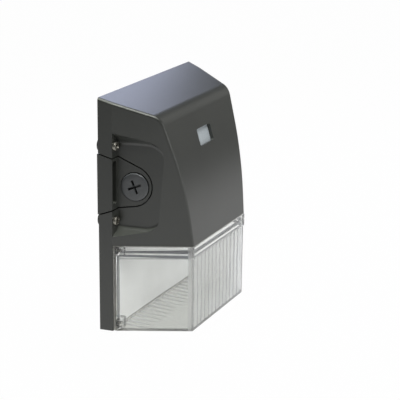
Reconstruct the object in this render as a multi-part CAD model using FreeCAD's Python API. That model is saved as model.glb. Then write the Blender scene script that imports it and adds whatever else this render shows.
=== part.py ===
"""Wall pack light: a die-cast back box on the wall, a full-height cover that
lifts off it, and a clear fluted refractor under the cover's hood.

Sizes are in millimetres.  X runs to the right as seen from the front, Y runs
into the wall and Z runs up.  The origin is on the wall face, on the middle
plane, level with the middle of the side pockets.

Most places are given as side (X), depth (forward from the cover's back edge)
and height (above the bottom edge), and point() turns them into the frame.
"""

import FreeCAD, Part
import math
import os
from FreeCAD import Vector

# ---- driving dimensions ----------------------------------------------------

HEIGHT = 190.0                # bottom edge to the hood's back top edge
WIDTH = 157.0                 # across the cover's back edge
COVER_DEPTH = 68.0            # cover's back edge to the front of the lens
WALL_GAP = 1.6                # the cover's back edge stands off the wall
POCKET_HEIGHT = 121.5         # middle of the side pockets, above the bottom edge
COVER_WALL = 2.4              # cast wall of the cover
ROOF_MARGIN = 4.0             # the side walls are drawn this far above the roof
BOX_WALL = 2.8                # cast wall of the back box

# side walls of the cover
STRIP_DEPTH = 11.0            # side strip, before the walls turn inward
STRIP_DRAFT = math.radians(9.0)
SIDE_TAPER = math.radians(26.5)
TOP_STRIP_DRAFT = math.radians(13.8)   # the same two walls, up at the roof
TOP_SIDE_TAPER = math.radians(21.5)

# roof and front of the hood
LENS_TOP = 72.0               # underside of the hood
TOP_SLOPE = 0.315             # the roof falls this much for each mm forward
FRONT_SLOPE = 0.312           # lean of the upper front, depth for each mm down
CHIN_SLOPE = 0.106            # lean of the front just above the lens
FRONT_BEND = (62.9, 119.6)    # depth and height where those leans would meet
FRONT_BEND_RADIUS = 300.0
BROW_RADIUS = 12.0            # roof to front
EDGE_RADIUS = 2.4             # side walls to roof and front

# scooped pocket on each side
FLOOR_SIDE = 66.6             # from the middle plane to the floor, at the ledge
FLOOR_DRAFT = math.radians(10.0)
FLOOR_TOP = 153.7
FLOOR_BOTTOM = 84.8
FLOOR_TIP = 40.5              # length of the floor, forward from the ledge
TOP_WALL_SPREAD = 1.0         # how far each wall leans out for each mm of rise
BOTTOM_WALL_SPREAD = 0.55
TIP_WALL_SPREAD = 0.5
POCKET_FILLET = 4.0
POCKET_TOP_CORNER = 17.0
POCKET_BOTTOM_CORNER = 20.0

# notch of the cover in which the back box shows: lower and upper heights
NOTCH_BACK = (96.6, 145.9)
NOTCH_LEDGE = (100.7, 142.4)
NOTCH_NOSE = (105.4, 130.2)
NOTCH_NOSE_DEPTH = 38.2
NOTCH_RADIUS = 16.6
HALF_SEAM = 0.5

# conduit hub of the back box and the plug that closes it
HUB_DEPTH = 24.5
HUB_HEIGHT = 119.1
HUB_RADIUS = 10.45
HUB_MOUTH_RADIUS = 11.8
HUB_CHAMFER = 1.8
HUB_BOSS_RADIUS = 13.5
HUB_LENGTH = 13.0
PLUG_RADIUS = 9.9
PLUG_LENGTH = 12.5
PLUG_PROUD = 0.8              # its face stands this far out of the pocket floor
PLUG_EDGE = 0.8
PLUG_SLOT_LENGTH = 11.4
PLUG_SLOT_WIDTH = 1.9
PLUG_SLOT_SINK = 4.0
PLUG_SLOT_TURN = 23.0         # degrees from upright

# cover screws and the ears of the back box that hold them
SCREW_SIDE = 72.2
SCREW_HEIGHTS = (91.8, 152.0)
SCREW_RADIUS = 2.0
SCREW_HEAD_RADIUS = 3.7
SCREW_HEAD_TALL = 2.5
EAR_RADIUS = 5.4
EAR_BOSS_RADIUS = 3.2
EAR_TOP = 2.6

# back box
BOX_BOTTOM = 78.5
BOX_TOP = 164.5
BOX_RIM = 40.0                # depth of its open rim
BOX_CLEARANCE = 0.8           # to the inside of the cover's pocket walls
BOX_CORNER = 7.0
BOX_PLATE = 3.0
WING_BACK = -0.8              # the part of it that shows stands nearer the wall
WING_SLOT = (69.7, 75.2)      # recess in the ledge part, near and far side
WING_SLOT_HEIGHTS = (105.0, 140.2)
WING_SLOT_BOTTOM = 1.0
WING_SLOT_CORNER = 2.4

# fixing holes in the back box
BOX_SLOT_SPACING = 86.0       # centre to centre, for junction boxes
BOX_SLOT_LENGTH = 9.0
BOX_SLOT_RADIUS = 2.5
CORNER_HOLES = (92.0, 64.0)
CORNER_HOLE_RADIUS = 2.75
WIRE_ENTRY_DROP = 20.0        # below the mounting centre
WIRE_ENTRY_RADIUS = 11.1
WIRE_ENTRY_BOSS = 3.0

# earthing point on the back box
GROUND_SIDE = 34.0
GROUND_HEIGHT = 95.0
GROUND_SEAT = 4.5
GROUND_LEAD_RADIUS = 1.2
RING_THICK = 0.8

# lens, and the frame of the cover that holds it
RAIL = 4.6                    # side bars and bottom rail
WEB = (7.0, 9.8)              # back and front of the web behind the lens
REFLECTOR_SIDE = 72.2
LENS_BACK = 11.8
LENS_SEAT = 71.2              # top of the lens rim
LENS_WALL = 2.4
LENS_FLOOR = 1.8
LENS_FLANGE = 2.0
LENS_STEP = 0.5               # walls below the rim stand back from the hood
LENS_RIM_PROUD = 0.3          # the rim's two beads stand out from the hood
LENS_BEADS = ((61.2, 66.0), (67.2, 71.2))
LENS_RIM_WALL = 4.2
LENS_FRONT_WALL = 2.7
LENS_CORNER = 1.5
FLUTE_COUNT = 13
FLUTE_PITCH = 6.9
FLUTE_RADIUS = 5.0
FLUTE_SKIN = 1.5              # plastic left in front of a flute
FLOOR_RIB_COUNT = 19
FLOOR_RIB_LENGTH = 24.0
FLOOR_RIB_RADIUS = 1.3        # half-round ribs that taper away forward
FLOOR_RIB_TIP = 0.2
LENS_SCREW_SIDE = 70.4
LENS_SCREW_HEIGHTS = (6.0, 67.4)
LENS_SCREW_RADIUS = 1.5
LENS_SCREW_HEAD_RADIUS = 2.9
LENS_PAD_RADIUS = 3.6

# photocell window, square to the front of the hood
WINDOW_WIDTH = 24.0
WINDOW_TALL = 14.0
WINDOW_HEIGHT = 149.7
WINDOW_CORNER = 1.6
WINDOW_SEAT = 2.9             # the pane's face, below the hood's surface
WINDOW_THICK = 1.6
PANE_MARGIN = 2.0
SEAT_PLAY = 0.2               # flat seat in the hood, round the pane's gasket
HOLDER_THICK = 2.4
HOLDER_SCREW_SIDE = 17.6
SENSOR_RADIUS = 6.0
SENSOR_BACK = 16.0

# lamp parts under the hood
BOARD_SIDE = 42.0
BOARD_DEPTHS = (20.0, 56.0)
BOARD_THICK = 1.6
PAD_THICK = 0.5
PAD_LOW = LENS_TOP - PAD_THICK
BOARD_LOW = PAD_LOW - BOARD_THICK
BOARD_SCREWS = ((-38.0, 24.0), (38.0, 24.0), (-38.0, 53.0), (38.0, 53.0))
CHIP_ROWS = 3
CHIP_COLUMNS = 9
CHIP_ROW_PITCH = 8.5
CHIP_PITCH = 7.4
CHIP_SIZE = 3.0
CHIP_TALL = 0.7
LEAD_HOLE = (49.5, 46.0)      # side and depth
LEAD_RADIUS = 0.9
LEAD_SPREAD = 1.4             # each lead of a pair, from their middle line
LED_LEAD_LOW = BOARD_LOW - 2.5
LED_SOCKET_LENGTH = 4.0
GROMMET_RADIUS = 3.6

# driver
DRIVER_SIDE = 44.0
DRIVER_DEPTHS = (36.0, 56.0)
DRIVER_HEIGHTS = (86.0, 122.0)
DRIVER_FOOT_HEIGHT = 104.0
DRIVER_SCREW_SIDE = 47.4
DRIVER_LEAD_HEIGHT = 92.0     # where the lamp leads leave its end
SUPPLY_SIDES = (-34.0, -20.0)
SUPPLY_HEIGHT = 142.0
SUPPLY_MOUTH = 27.0           # depth of the mouths of the two connectors
SUPPLY_LEAD_RADIUS = 1.1
CONNECTOR_LENGTH = 20.0
CONNECTOR_HOLLOW = 12.0

LAND_DEPTH = 41.5             # the cover's sealing wall starts here
LAND_WALL = 3.2
SMALL_SCREW_RADIUS = 1.25
THREAD_GAP = 0.05
FAR = 200.0                   # reach of a cutting solid

UP = Vector(0, 0, 1)
ACROSS = Vector(1, 0, 0)
TO_WALL = Vector(0, 1, 0)


# ---- small geometry helpers ------------------------------------------------

def point(side, depth, height):
    """A place in the frame from side, depth and height."""
    return Vector(side, -(WALL_GAP + depth), height - POCKET_HEIGHT)


def tangent_arc(before, here, after, radius):
    """Start, middle and end of the arc that rounds a corner."""
    back = (before - here).normalize()
    ahead = (after - here).normalize()
    half = back.getAngle(ahead) / 2
    inward = (back + ahead).normalize()
    run = radius / math.tan(half)
    middle = here + inward * (radius / math.sin(half) - radius)
    return here + back * run, middle, here + ahead * run


def rounded_wire(corners):
    """A closed wire through (place, radius) corners, with tangent arcs."""
    turns = []
    for index, (here, radius) in enumerate(corners):
        before = corners[index - 1][0]
        after = corners[(index + 1) % len(corners)][0]
        if radius:
            turns.append(tangent_arc(before, here, after, radius))
        else:
            turns.append((here, here, here))
    edges = []
    for index, (start, middle, end) in enumerate(turns):
        if start.distanceToPoint(end) > 1e-6:
            edges.append(Part.Arc(start, middle, end).toShape())
        following = turns[(index + 1) % len(turns)][0]
        if end.distanceToPoint(following) > 1e-6:
            edges.append(Part.LineSegment(end, following).toShape())
    return Part.Wire(edges)


def prism(wire, direction):
    """The solid that a wire sweeps along a straight line."""
    return Part.Face(wire).extrude(direction)


def prism_up(corners, low, high):
    """(side, depth, radius) corners, raised from one height to another."""
    wire = rounded_wire([(point(side, depth, low), radius) for side, depth, radius in corners])
    return prism(wire, UP * (high - low))


def prism_forward(corners, back, front):
    """(side, height, radius) corners, swept from one depth to another."""
    wire = rounded_wire([(point(side, back, height), radius) for side, height, radius in corners])
    return prism(wire, TO_WALL * (back - front))


def rectangle(low_u, low_v, high_u, high_v, radius=0):
    """Corners of a rectangle for the prisms above."""
    return [(low_u, low_v, radius), (high_u, low_v, radius),
            (high_u, high_v, radius), (low_u, high_v, radius)]


def block(sides, depths, heights):
    """A plain box between pairs of sides, depths and heights."""
    return prism_up(rectangle(sides[0], depths[0], sides[1], depths[1]), *heights)


def post(side, height, back, front, radius):
    """A cylinder that points straight forward."""
    return Part.makeCylinder(radius, front - back, point(side, back, height), TO_WALL * -1)


def stud(side, depth, low, high, radius):
    """An upright cylinder."""
    return Part.makeCylinder(radius, high - low, point(side, depth, low), UP)


def fuse(shapes):
    """All the shapes as one solid."""
    shapes = list(shapes)
    return shapes[0].multiFuse(shapes[1:]).removeSplitter()


def cut_all(shape, cutters):
    """The shape less each of the cutters."""
    for cutter in cutters:
        shape = shape.cut(cutter)
    return shape


def mirrored(shape):
    """The same shape on the other side of the middle plane."""
    return shape.mirror(Vector(0, 0, 0), ACROSS)


def both_sides(shapes):
    """Left-hand shapes with their mirror images."""
    return list(shapes) + [mirrored(shape) for shape in shapes]


def group(solids):
    """Separate solids kept together in one node."""
    return Part.makeCompound(list(solids))


def tube(places, radius):
    """A round lead along straight runs joined by large tangent arcs."""
    edges = []
    start = places[0]
    for before, here, after in zip(places, places[1:], places[2:]):
        turn = (before - here).getAngle(after - here)
        shorter = min(before.distanceToPoint(here), here.distanceToPoint(after))
        bend = 0.45 * shorter * math.tan(turn / 2)
        arc_start, middle, arc_end = tangent_arc(before, here, after, bend)
        edges.append(Part.LineSegment(start, arc_start).toShape())
        edges.append(Part.Arc(arc_start, middle, arc_end).toShape())
        start = arc_end
    edges.append(Part.LineSegment(start, places[-1]).toShape())
    ring = Part.Wire(Part.makeCircle(radius, places[0], places[1] - places[0]))
    return Part.Wire(edges).makePipeShell([ring], True, True)


# ---- the cover's form ------------------------------------------------------

def strip_side(depth, inset=0.0, draft=STRIP_DRAFT):
    """From the middle plane to the side strip, or to its inner face."""
    return WIDTH / 2 - depth * math.tan(draft) - inset / math.cos(draft)


def taper_side(depth, inset=0.0, draft=STRIP_DRAFT, taper=SIDE_TAPER):
    """From the middle plane to the tapering wall, or to its inner face."""
    beyond = depth - STRIP_DEPTH
    return strip_side(STRIP_DEPTH, 0, draft) - beyond * math.tan(taper) - inset / math.cos(taper)


def taper_plan(inset, back, front, corner=0.0):
    """Plan outline between two depths that lie forward of the strip."""
    return [(-taper_side(back, inset), back, 0), (-taper_side(front, inset), front, corner),
            (taper_side(front, inset), front, corner), (taper_side(back, inset), back, 0)]


def strip_plan(back, front):
    """Plan outline of the side strips alone."""
    return [(-strip_side(back), back, 0), (-strip_side(front), front, 0),
            (strip_side(front), front, 0), (strip_side(back), back, 0)]


def wall_plan(inset, back, front, height, draft, taper):
    """Plan wire, at a height, of the strips and the tapering walls together."""
    lead = taper_side(0, inset, draft, taper) - strip_side(0, inset, draft)
    turn = lead / (math.tan(taper) - math.tan(draft))
    left = [(-strip_side(back, inset, draft), back), (-taper_side(turn, inset, draft, taper), turn),
            (-taper_side(front, inset, draft, taper), front)]
    right = [(-side, depth) for side, depth in reversed(left)]
    return rounded_wire([(point(side, depth, height), 0) for side, depth in left + right])


def wall_form(inset, back, front):
    """All between the side walls, which twist a little on their way up.

    At the roof the strip and the taper are nearly in one line.
    """
    wires = [wall_plan(inset, back, front, LENS_TOP, STRIP_DRAFT, SIDE_TAPER),
             wall_plan(inset, back, front, HEIGHT + ROOF_MARGIN, TOP_STRIP_DRAFT, TOP_SIDE_TAPER)]
    return Part.makeLoft(wires, True, True)


def front_depth(height):
    """Depth of the upper, straight part of the hood's front."""
    return FRONT_BEND[0] - FRONT_SLOPE * (height - FRONT_BEND[1])


def hood_side_wire(inset):
    """Side outline of the hood, from behind its back edge to the front."""
    behind = -20.0
    brow_height = (HEIGHT - TOP_SLOPE * front_depth(0)) / (1 - TOP_SLOPE * FRONT_SLOPE)
    chin_depth = FRONT_BEND[0] + CHIN_SLOPE * (FRONT_BEND[1] - LENS_TOP)
    wire = rounded_wire([
        (point(-FAR / 2, behind, LENS_TOP), 0),
        (point(-FAR / 2, chin_depth, LENS_TOP), 0),
        (point(-FAR / 2, *FRONT_BEND), FRONT_BEND_RADIUS),
        (point(-FAR / 2, front_depth(brow_height), brow_height), BROW_RADIUS),
        (point(-FAR / 2, behind, HEIGHT - TOP_SLOPE * behind), 0)])
    if inset:
        wire = wire.makeOffset2D(-inset)
    return wire


def is_hood_edge(edge):
    """True on the edges where a side wall meets the roof or the front."""
    middle = edge.valueAt((edge.FirstParameter + edge.LastParameter) / 2)
    depth = -middle.y - WALL_GAP
    runs_across = abs(edge.Vertexes[0].X - edge.Vertexes[-1].X) > WIDTH / 3
    is_strip_crease = abs(edge.tangentAt(edge.FirstParameter).z) > 0.999 and depth < STRIP_DEPTH + 1
    is_underside = middle.z < LENS_TOP - POCKET_HEIGHT + 0.1
    return depth > 0.1 and not (runs_across or is_strip_crease or is_underside)


def hood_form(inset, back):
    """The hood as a solid, or with an inset the room inside its walls."""
    walls = wall_form(inset, back, COVER_DEPTH + 6)
    form = walls.common(prism(hood_side_wire(inset), ACROSS * FAR))
    if inset:
        return form
    return form.makeFillet(EDGE_RADIUS, [edge for edge in form.Edges if is_hood_edge(edge)])


# ---- the side pocket -------------------------------------------------------

def floor_place():
    """Placement of the left pocket's floor: X forward, Y up, Z outward."""
    forward = Vector(math.sin(FLOOR_DRAFT), -math.cos(FLOOR_DRAFT), 0)
    turn = FreeCAD.Rotation(forward, UP, forward.cross(UP), "ZXY")
    return FreeCAD.Placement(point(-FLOOR_SIDE, STRIP_DEPTH, 0), turn)


def floor_side(depth):
    """From the middle plane to the pocket floor at a depth."""
    return FLOOR_SIDE - (depth - STRIP_DEPTH) * math.tan(FLOOR_DRAFT)


def pocket_outline(rise, grow):
    """Outline of the pocket at a rise above its floor."""
    top = FLOOR_TOP + TOP_WALL_SPREAD * rise + grow
    bottom = FLOOR_BOTTOM - BOTTOM_WALL_SPREAD * rise - grow
    tip = FLOOR_TIP + TIP_WALL_SPREAD * rise + grow
    behind = -30.0
    corners = [(behind, bottom, 0), (tip, bottom, POCKET_BOTTOM_CORNER + grow),
               (tip, top, POCKET_TOP_CORNER + grow), (behind, top, 0)]
    return rounded_wire([(Vector(u, v, rise), radius) for u, v, radius in corners])


def pocket_form(grow):
    """What the left pocket takes away, or with grow the metal around it."""
    sill = -grow
    form = Part.makeLoft([pocket_outline(sill, grow), pocket_outline(16.0, grow)], True, True)
    floor_edges = []
    for edge in form.Edges:
        middle = edge.valueAt((edge.FirstParameter + edge.LastParameter) / 2)
        if abs(middle.z - sill) < 0.01 and middle.x > -29:
            floor_edges.append(edge)
    form = form.makeFillet(POCKET_FILLET, floor_edges)
    form.Placement = floor_place()
    return form.common(block((-FAR, 0), (STRIP_DEPTH - grow, FAR), (-20, FAR)))


def notch_form(offset, inner_side):
    """The left hub notch as a solid that reaches in to inner_side."""
    behind = -6.0
    corners = [(STRIP_DEPTH, NOTCH_LEDGE[0], 0),
               (NOTCH_NOSE_DEPTH, NOTCH_NOSE[0], NOTCH_RADIUS),
               (NOTCH_NOSE_DEPTH, NOTCH_NOSE[1], NOTCH_RADIUS),
               (STRIP_DEPTH, NOTCH_LEDGE[1], 0)]
    for index in (1, 0):
        slope = (NOTCH_LEDGE[index] - NOTCH_BACK[index]) / STRIP_DEPTH
        corners.append((behind, NOTCH_BACK[index] + slope * behind, 0))
    wire = rounded_wire([(point(-FAR / 2, depth, height), radius) for depth, height, radius in corners])
    return prism(wire.makeOffset2D(offset, 2), ACROSS * (FAR / 2 - inner_side))


def hub_cylinder(radius, low, high, mouth_radius=None):
    """A cylinder or cone on the left hub's axis, between rises from the floor."""
    along = (HUB_DEPTH - STRIP_DEPTH) / math.cos(FLOOR_DRAFT)
    base = Vector(along, HUB_HEIGHT, low)
    if mouth_radius:
        form = Part.makeCone(radius, mouth_radius, high - low, base)
    else:
        form = Part.makeCylinder(radius, high - low, base)
    form.Placement = floor_place().multiply(form.Placement)
    return form


# ---- the back box and what stays on the wall -------------------------------

def box_side(depth):
    """From the middle plane to the back box's side wall."""
    return floor_side(depth) - COVER_WALL / math.cos(FLOOR_DRAFT) - BOX_CLEARANCE


def box_form(inset, back, front):
    """The back box's block, or with an inset the room inside it."""
    wires = []
    for depth in (back, front):
        side = box_side(depth) - inset
        corners = rectangle(-side, BOX_BOTTOM + inset, side, BOX_TOP - inset, BOX_CORNER - inset)
        wires.append(rounded_wire([(point(u, depth, v), radius) for u, v, radius in corners]))
    return Part.makeLoft(wires, True, True)


def box_wing():
    """The left part of the back box that fills the cover's notch."""
    skin = wall_form(0, WING_BACK, COVER_DEPTH)
    return notch_form(-HALF_SEAM, box_side(0) - 12).common(skin).cut(pocket_form(0))


def box_ear(height):
    """A left ear: a pad behind the cover's edge and a threaded boss."""
    inner = box_side(0) - 3
    pad_corners = [(-SCREW_SIDE - EAR_RADIUS, height - EAR_RADIUS, EAR_RADIUS - 0.1),
                   (-inner, height - EAR_RADIUS, 0), (-inner, height + EAR_RADIUS, 0),
                   (-SCREW_SIDE - EAR_RADIUS, height + EAR_RADIUS, EAR_RADIUS - 0.1)]
    pad = prism_forward(pad_corners, -WALL_GAP, -0.3)
    bar = block((-SCREW_SIDE, -inner), (-0.4, EAR_TOP), (height - EAR_BOSS_RADIUS, height + EAR_BOSS_RADIUS))
    boss = post(-SCREW_SIDE, height, -0.4, EAR_TOP, EAR_BOSS_RADIUS)
    return fuse([pad, bar, boss])


def back_box():
    floor_top = BOX_PLATE - WALL_GAP
    room = box_form(BOX_WALL, floor_top, BOX_RIM + 2)
    added = [box_wing(), hub_cylinder(HUB_BOSS_RADIUS, -HUB_LENGTH, -4.0)]
    added += [box_ear(height) for height in SCREW_HEIGHTS]
    body = fuse([box_form(0, -WALL_GAP, BOX_RIM)] + both_sides(added[:1] + added[2:]))
    body = body.cut(room).fuse(both_sides(added[1:2]))

    entry_height = POCKET_HEIGHT - WIRE_ENTRY_DROP
    ground_boss = post(GROUND_SIDE, GROUND_HEIGHT, floor_top - 1, GROUND_SEAT, 3.6)
    entry_boss = post(0, entry_height, floor_top - 1, floor_top + WIRE_ENTRY_BOSS, WIRE_ENTRY_RADIUS + 3)
    body = body.fuse([ground_boss, entry_boss])

    cuts = both_sides([
        hub_cylinder(HUB_RADIUS, -HUB_LENGTH - 5, 1),
        hub_cylinder(HUB_RADIUS, -HUB_CHAMFER, 0.01, HUB_MOUTH_RADIUS),
        prism_forward(rectangle(-WING_SLOT[1], WING_SLOT_HEIGHTS[0], -WING_SLOT[0], WING_SLOT_HEIGHTS[1],
                                WING_SLOT_CORNER), WING_SLOT_BOTTOM, STRIP_DEPTH + 1)])
    for height in SCREW_HEIGHTS:
        cuts += both_sides([post(-SCREW_SIDE, height, -5, 8, SCREW_RADIUS + 0.2)])
    slot_end = BOX_SLOT_LENGTH / 2
    slot = rectangle(-BOX_SLOT_SPACING / 2 - slot_end, POCKET_HEIGHT - BOX_SLOT_RADIUS,
                     -BOX_SLOT_SPACING / 2 + slot_end, POCKET_HEIGHT + BOX_SLOT_RADIUS,
                     BOX_SLOT_RADIUS - 0.001)
    cuts += both_sides([prism_forward(slot, -5, 8)])
    for lift in (-CORNER_HOLES[1] / 2, CORNER_HOLES[1] / 2):
        cuts += both_sides([post(-CORNER_HOLES[0] / 2, POCKET_HEIGHT + lift, -5, 8, CORNER_HOLE_RADIUS)])
    cuts.append(post(0, entry_height, -5, 12, WIRE_ENTRY_RADIUS))
    cuts.append(post(GROUND_SIDE, GROUND_HEIGHT, 0, 8, SCREW_RADIUS + THREAD_GAP))
    return cut_all(body, cuts).removeSplitter()


def closure_plug():
    """The left hub's plug, with a deep cross slot for a screwdriver."""
    top = PLUG_PROUD
    body = hub_cylinder(PLUG_RADIUS, top - PLUG_LENGTH, top)
    rim = [edge for edge in body.Edges if len(edge.Vertexes) == 1]
    body = body.makeChamfer(PLUG_EDGE, rim)
    along = (HUB_DEPTH - STRIP_DEPTH) / math.cos(FLOOR_DRAFT)
    for turn in (PLUG_SLOT_TURN, PLUG_SLOT_TURN + 90):
        slot = Part.makeBox(PLUG_SLOT_WIDTH, PLUG_SLOT_LENGTH, PLUG_SLOT_SINK + 1,
                            Vector(-PLUG_SLOT_WIDTH / 2, -PLUG_SLOT_LENGTH / 2, -PLUG_SLOT_SINK))
        slot.rotate(Vector(0, 0, 0), UP, turn)
        slot.translate(Vector(along, HUB_HEIGHT, top))
        slot.Placement = floor_place().multiply(slot.Placement)
        body = body.cut(slot)
    return body


def cross_recess(place, length, width, sink, outward):
    """Two crossed slots sunk into a screw head that faces outward."""
    slots = []
    for turn in (0, 90):
        slot = Part.makeBox(width, length, sink + 1, Vector(-width / 2, -length / 2, -sink))
        slot.rotate(Vector(0, 0, 0), UP, turn + 20)
        slot.Placement = FreeCAD.Placement(place, FreeCAD.Rotation(UP, outward)).multiply(slot.Placement)
        slots.append(slot)
    return slots


def pan_screw(seat, outward, head_radius, head_tall, shank_radius, shank_length):
    """A screw whose head stands outward from its seat."""
    rim_tall = head_tall * 0.55
    top = seat + outward * head_tall
    head = Part.makeCylinder(head_radius, rim_tall, seat, outward)
    crown = Part.makeCone(head_radius, head_radius * 0.72, head_tall - rim_tall,
                          seat + outward * rim_tall, outward)
    shank = Part.makeCylinder(shank_radius, shank_length + 0.5, seat + outward * 0.5, outward * -1)
    recess = cross_recess(top, head_radius * 1.15, head_radius * 0.26, head_tall * 0.6, outward)
    return cut_all(fuse([head, crown, shank]), recess)


def ground_screw():
    seat = point(GROUND_SIDE, GROUND_SEAT + RING_THICK, GROUND_HEIGHT)
    return pan_screw(seat, TO_WALL * -1, 3.4, 2.0, SCREW_RADIUS, 4.6)


def ground_mouth():
    """Where the earth lead enters its connector."""
    return point(GROUND_SIDE - 9, 12, 133)


def ground_lead():
    """A ring terminal under the ground screw, and its lead."""
    ring = post(GROUND_SIDE, GROUND_HEIGHT, GROUND_SEAT, GROUND_SEAT + RING_THICK, 4.0)
    neck_top = GROUND_HEIGHT + 9
    neck = block((GROUND_SIDE - 1.6, GROUND_SIDE + 1.6), (GROUND_SEAT, GROUND_SEAT + RING_THICK),
                 (GROUND_HEIGHT + 2, neck_top))
    hole = post(GROUND_SIDE, GROUND_HEIGHT, GROUND_SEAT - 1, GROUND_SEAT + 2, SCREW_RADIUS + 0.1)
    middle = GROUND_SEAT + GROUND_LEAD_RADIUS
    mouth = ground_mouth()
    lead = tube([point(GROUND_SIDE, middle, neck_top - 3), point(GROUND_SIDE, middle + 1, neck_top + 9),
                 mouth - UP * 6, mouth + UP * CONNECTOR_HOLLOW], GROUND_LEAD_RADIUS)
    return fuse([ring, neck, lead]).cut(hole)


def twist_connector(mouth, direction):
    """A tapered twist-on wire connector with grip flats."""
    body = Part.makeCone(5.2, 3.2, CONNECTOR_LENGTH, mouth, direction)
    hollow = Part.makeCylinder(2.6, CONNECTOR_HOLLOW, mouth, direction)
    grip = Part.makeCone(6.0, 5.4, 6.0, mouth, direction)
    return fuse([body, grip]).cut(hollow)


def ground_connector():
    return twist_connector(ground_mouth(), UP)


# ---- the cover -------------------------------------------------------------

def window_prism(width, tall, back, front, corner):
    """A rounded rectangle square to the hood's front at the window.

    back and front are measured outward from the hood's surface.
    """
    lean = math.atan(FRONT_SLOPE)
    outward = Vector(0, -math.cos(lean), math.sin(lean))
    upward = Vector(0, math.sin(lean), math.cos(lean))
    centre = point(0, front_depth(WINDOW_HEIGHT), WINDOW_HEIGHT) + outward * back
    corners = [(centre + ACROSS * u + upward * v, radius)
               for u, v, radius in rectangle(-width / 2, -tall / 2, width / 2, tall / 2, corner)]
    return prism(rounded_wire(corners), outward * (front - back))


def window_post(side, back, front, radius):
    """A cylinder square to the hood's front, level with the window."""
    lean = math.atan(FRONT_SLOPE)
    outward = Vector(0, -math.cos(lean), math.sin(lean))
    base = point(side, front_depth(WINDOW_HEIGHT), WINDOW_HEIGHT) + outward * back
    return Part.makeCylinder(radius, front - back, base, outward)


def cover_land():
    """The rectangular wall inside the hood that seals on the box gasket."""
    side = floor_side(LAND_DEPTH) - 0.6
    near = side - LAND_WALL
    outer = prism_forward(rectangle(-side, LENS_TOP, side, BOX_TOP + 1, BOX_CORNER), LAND_DEPTH, COVER_DEPTH)
    inner = rectangle(-near, BOX_BOTTOM + LAND_WALL, near, BOX_TOP + 1 - LAND_WALL, BOX_CORNER - LAND_WALL)
    return outer.cut(prism_forward(inner, LAND_DEPTH - 1, COVER_DEPTH + 1))


def cover_shell():
    """The hood and lens frame, hollow behind, with both pockets."""
    frame = prism_up(strip_plan(0, STRIP_DEPTH), 0, LENS_TOP)
    outer = hood_form(0, 0).fuse(frame)
    room = cut_all(hood_form(COVER_WALL, -10), both_sides([pocket_form(COVER_WALL)]))
    frame_side = strip_side(STRIP_DEPTH) - RAIL
    tray = block((-frame_side, frame_side), (-10, WEB[0]), (RAIL, LENS_TOP + COVER_WALL + 1))
    recess = block((-REFLECTOR_SIDE, REFLECTOR_SIDE), (WEB[1], STRIP_DEPTH + 1), (3.0, LENS_TOP))
    shell = cut_all(outer, [room, tray, recess])
    bosses = both_sides([post(-SCREW_SIDE, height, 3.2, STRIP_DEPTH - 1, SCREW_HEAD_RADIUS + 0.5)
                         for height in SCREW_HEIGHTS])
    return shell.fuse([boss.common(outer) for boss in bosses])


def cover():
    land = cover_land().common(hood_form(1.0, -10))
    supports = [land]
    supports += both_sides([post(-LENS_SCREW_SIDE, height, WEB[1] - 1, LENS_BACK, LENS_PAD_RADIUS)
                            for height in LENS_SCREW_HEIGHTS])
    supports += [stud(side, depth, LENS_TOP + 1, BOX_BOTTOM - 1, 3.4) for side, depth in BOARD_SCREWS]
    inside = hood_form(1.0, -10)
    driver_post = post(-DRIVER_SCREW_SIDE, DRIVER_FOOT_HEIGHT, DRIVER_DEPTHS[1], COVER_DEPTH, 3.0)
    window_posts = window_post(-HOLDER_SCREW_SIDE, -WINDOW_SEAT - WINDOW_THICK, -1.0, 2.6)
    supports += both_sides([driver_post.common(inside), window_posts])
    body = cover_shell().fuse(supports)

    cuts = both_sides([pocket_form(0), notch_form(HALF_SEAM, box_side(0) - 14)])
    cuts += both_sides([post(-SCREW_SIDE, height, 0, 20, SCREW_RADIUS + 0.3) for height in SCREW_HEIGHTS])
    for height in LENS_SCREW_HEIGHTS:
        cuts += both_sides([post(-LENS_SCREW_SIDE, height, 0, 20, LENS_SCREW_RADIUS + 0.2),
                            post(-LENS_SCREW_SIDE, height, 3, WEB[0], LENS_SCREW_HEAD_RADIUS + 0.4)])
    cuts += both_sides([post(-DRIVER_SCREW_SIDE, DRIVER_FOOT_HEIGHT, DRIVER_DEPTHS[1] - 1,
                             DRIVER_DEPTHS[1] + 4.2, SMALL_SCREW_RADIUS + THREAD_GAP)])
    cuts += both_sides([window_post(-HOLDER_SCREW_SIDE, -10, -1.6, SMALL_SCREW_RADIUS + THREAD_GAP)])
    cuts += [stud(side, depth, LENS_TOP - 1, BOX_BOTTOM - 2.5, SMALL_SCREW_RADIUS + THREAD_GAP)
             for side, depth in BOARD_SCREWS]
    cuts.append(stud(*LEAD_HOLE, LENS_TOP - 1, BOX_BOTTOM + 8, GROMMET_RADIUS))
    cuts.append(window_prism(WINDOW_WIDTH, WINDOW_TALL, -8, 8, WINDOW_CORNER))
    cuts.append(window_prism(WINDOW_WIDTH + 2 * PANE_MARGIN + 2 * SEAT_PLAY,
                             WINDOW_TALL + 2 * PANE_MARGIN + 2 * SEAT_PLAY,
                             -WINDOW_SEAT - SEAT_PLAY, -COVER_WALL, 2.0))
    return cut_all(body, cuts).removeSplitter()


def cover_gasket():
    """Flat seal between the back box's rim and the cover's sealing wall."""
    side = box_side(BOX_RIM) - 0.3
    inset = BOX_WALL - 0.5
    outer = rectangle(-side, BOX_BOTTOM + 0.3, side, BOX_TOP - 0.3, BOX_CORNER - 0.3)
    inner = rectangle(-side + inset, BOX_BOTTOM + 0.3 + inset, side - inset, BOX_TOP - 0.3 - inset,
                      BOX_CORNER - 0.3 - inset)
    ring = prism_forward(outer, BOX_RIM + 0.1, LAND_DEPTH)
    return ring.cut(prism_forward(inner, BOX_RIM - 1, LAND_DEPTH + 1))


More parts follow.
